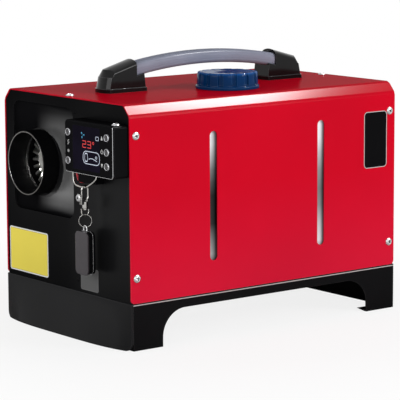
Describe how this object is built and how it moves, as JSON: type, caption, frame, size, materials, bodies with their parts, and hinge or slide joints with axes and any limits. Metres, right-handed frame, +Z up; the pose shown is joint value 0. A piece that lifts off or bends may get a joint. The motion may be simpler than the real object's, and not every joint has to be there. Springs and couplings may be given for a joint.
{
  "type": "diesel space heater",
  "caption": "Portable diesel air heater in a sheet-metal case with a built-in fuel tank, front warm-air outlet, keypad controller, carry handle and hanging remote.",
  "frame": {"origin": "on the floor under the middle of the whole object, controller keys and cable gland included", "axes": "+X to the side with the fuel tank, which is the right one seen from the front; +Y from the front, where the outlet and controller are, to the back; +Z up"},
  "size_m": [0.2594, 0.4354, 0.3225],
  "materials": {
    "cover_red": "satin red powder coat",
    "panel_black": "satin black paint",
    "base_black": "matt black paint",
    "apron_gloss": "glossy dark grey",
    "duct_black": "moulded black",
    "handle_black": "fine textured black",
    "shell_dark": "moulded dark grey",
    "ctrl_black": "moulded black",
    "gland_black": "moulded black",
    "tank_white": "translucent white",
    "cap_blue": "satin blue",
    "grip_grey": "soft grey",
    "core_steel": "plain",
    "rubber_black": "matt",
    "brass": "turned",
    "filter_clear": "translucent",
    "pump_steel": "zinc plated",
    "line_black": "smooth",
    "cast_aluminium": "as cast",
    "burner_steel": "heat tinted",
    "board_green": "varnished board",
    "stand_steel": "zinc plated",
    "loom_black": "corrugated sleeve",
    "face_gloss": "gloss black",
    "key_silver": "satin chrome",
    "lead_red": "smooth red",
    "screw_steel": "bright zinc",
    "wire_steel": "bright",
    "remote_black": "gloss black",
    "remote_trim": "bright",
    "remote_grey": "gloss dark grey",
    "key_dark": "soft"
  },
  "bodies": {
    "heater_case": {"outer_cover": "cover_red", "front_panel": "panel_black", "rear_panel": "panel_black", "outlet_recess_pan": "panel_black", "floor_plate": "base_black", "front_apron": "apron_gloss", "base_skirt": "base_black", "pan_screws": "screw_steel", "outlet_duct": "duct_black", "handle_foot_front": "handle_black", "handle_foot_rear": "handle_black", "handle_grip": "grip_grey", "handle_core": "core_steel", "fuel_tank": "tank_white", "neck_grommet": "rubber_black", "tank_outlet_fitting": "brass", "fuel_filter": "filter_clear", "fuel_pump": "pump_steel", "fuel_bracket": "rubber_black", "fuel_lines": "line_black", "heater_upper_shell": "shell_dark", "heater_lower_shell": "shell_dark", "heat_exchanger": "cast_aluminium", "burner_tube": "burner_steel", "glow_plug": "burner_steel", "combustion_housing": "cast_aluminium", "fan_motor": "pump_steel", "inlet_ring": "shell_dark", "intake_guard": "duct_black", "control_board": "board_green", "heater_stand": "stand_steel", "exhaust_pipe": "stand_steel", "combustion_air_pipe": "shell_dark", "wiring_loom": "loom_black", "cable_gland": "gland_black", "controller_housing": "ctrl_black", "controller_face": "face_gloss", "controller_board": "board_green", "controller_lead": "lead_red", "lanyard_bail": "wire_steel"},
    "cap_seal": {"cap_gasket": "rubber_black"},
    "cap": {"fuel_cap": "cap_blue"},
    "rotor": {"motor_shaft": "burner_steel", "fan_wheel": "shell_dark", "combustion_wheel": "shell_dark"},
    "clasp": {"clasp_body": "wire_steel"},
    "clasp_gate": {"clasp_lever": "wire_steel"},
    "swivel": {"swivel_eye": "wire_steel"},
    "ring": {"split_ring": "wire_steel"},
    "remote": {"remote_case": "remote_black", "remote_frame": "remote_trim"},
    "remote_slider": {"remote_cover": "remote_grey"},
    "remote_button_on": {"remote_key_on": "key_dark"},
    "remote_button_off": {"remote_key_off": "key_dark"},
    "button_up": {"key_up": "key_silver"},
    "button_power": {"key_power": "key_silver"},
    "button_down": {"key_down": "key_silver"},
    "button_mode": {"key_mode": "key_silver"},
    "button_settings": {"key_settings": "key_silver"}
  },
  "joints": [
    {"name": "cap_rise", "type": "slide", "parent": "heater_case", "child": "cap_seal", "axis": [0, 0, 1], "range_m": [0, 0.006]},
    {"name": "cap_turn", "type": "hinge", "parent": "cap_seal", "child": "cap", "pos_m": [0.051, 0.00575, 0.29], "axis": [0, 0, 1], "range_deg": [0, 540]},
    {"name": "rotor_spin", "type": "hinge", "parent": "heater_case", "child": "rotor", "pos_m": [-0.0687, 0.12575, 0.1953], "axis": [0, 1, 0], "continuous": true},
    {"name": "key_up_press", "type": "slide", "parent": "heater_case", "child": "button_up", "axis": [0, 1, 0], "range_m": [0, 0.0008], "stiffness_N_per_m": 600, "springref_m": -0.0003},
    {"name": "key_power_press", "type": "slide", "parent": "heater_case", "child": "button_power", "axis": [0, 1, 0], "range_m": [0, 0.0008], "stiffness_N_per_m": 600, "springref_m": -0.0003},
    {"name": "key_down_press", "type": "slide", "parent": "heater_case", "child": "button_down", "axis": [0, 1, 0], "range_m": [0, 0.0008], "stiffness_N_per_m": 600, "springref_m": -0.0003},
    {"name": "key_mode_press", "type": "slide", "parent": "heater_case", "child": "button_mode", "axis": [0, 1, 0], "range_m": [0, 0.0008], "stiffness_N_per_m": 600, "springref_m": -0.0003},
    {"name": "key_settings_press", "type": "slide", "parent": "heater_case", "child": "button_settings", "axis": [0, 1, 0], "range_m": [0, 0.0008], "stiffness_N_per_m": 600, "springref_m": -0.0003},
    {"name": "clasp_swing", "type": "hinge", "parent": "heater_case", "child": "clasp", "pos_m": [0.0585, -0.20775, 0.181], "axis": [-1, 0, 0], "range_deg": [0, 60]},
    {"name": "clasp_gate_open", "type": "hinge", "parent": "clasp", "child": "clasp_gate", "pos_m": [0.0585, -0.21215, 0.1685], "axis": [-1, 0, 0], "range_deg": [0, 20], "stiffness_Nm_per_rad": 0.004, "springref_deg": -11.46},
    {"name": "swivel_turn", "type": "hinge", "parent": "clasp", "child": "swivel", "pos_m": [0.0585, -0.20775, 0.155], "axis": [0, 0, 1], "range_deg": [0, 180]},
    {"name": "ring_swing", "type": "hinge", "parent": "swivel", "child": "ring", "pos_m": [0.0585, -0.20775, 0.14875], "axis": [0, 1, 0], "range_deg": [0, 35]},
    {"name": "remote_swing", "type": "hinge", "parent": "ring", "child": "remote", "pos_m": [0.0585, -0.20775, 0.1354], "axis": [-0.6157, -0.788, 0], "range_deg": [0, 45]},
    {"name": "remote_cover_slide", "type": "slide", "parent": "remote", "child": "remote_slider", "axis": [0, 0, -1], "range_m": [0, 0.029]},
    {"name": "remote_on_press", "type": "slide", "parent": "remote", "child": "remote_button_on", "axis": [0, 1, 0], "range_m": [0, 0.0005], "stiffness_N_per_m": 400, "springref_m": -0.0003},
    {"name": "remote_off_press", "type": "slide", "parent": "remote", "child": "remote_button_off", "axis": [0, 1, 0], "range_m": [0, 0.0005], "stiffness_N_per_m": 400, "springref_m": -0.0003}
  ],
  "couplings": [
    {"joint": "cap_turn", "follows": "cap_rise", "rad_per_m": 1570.8}
  ]
}
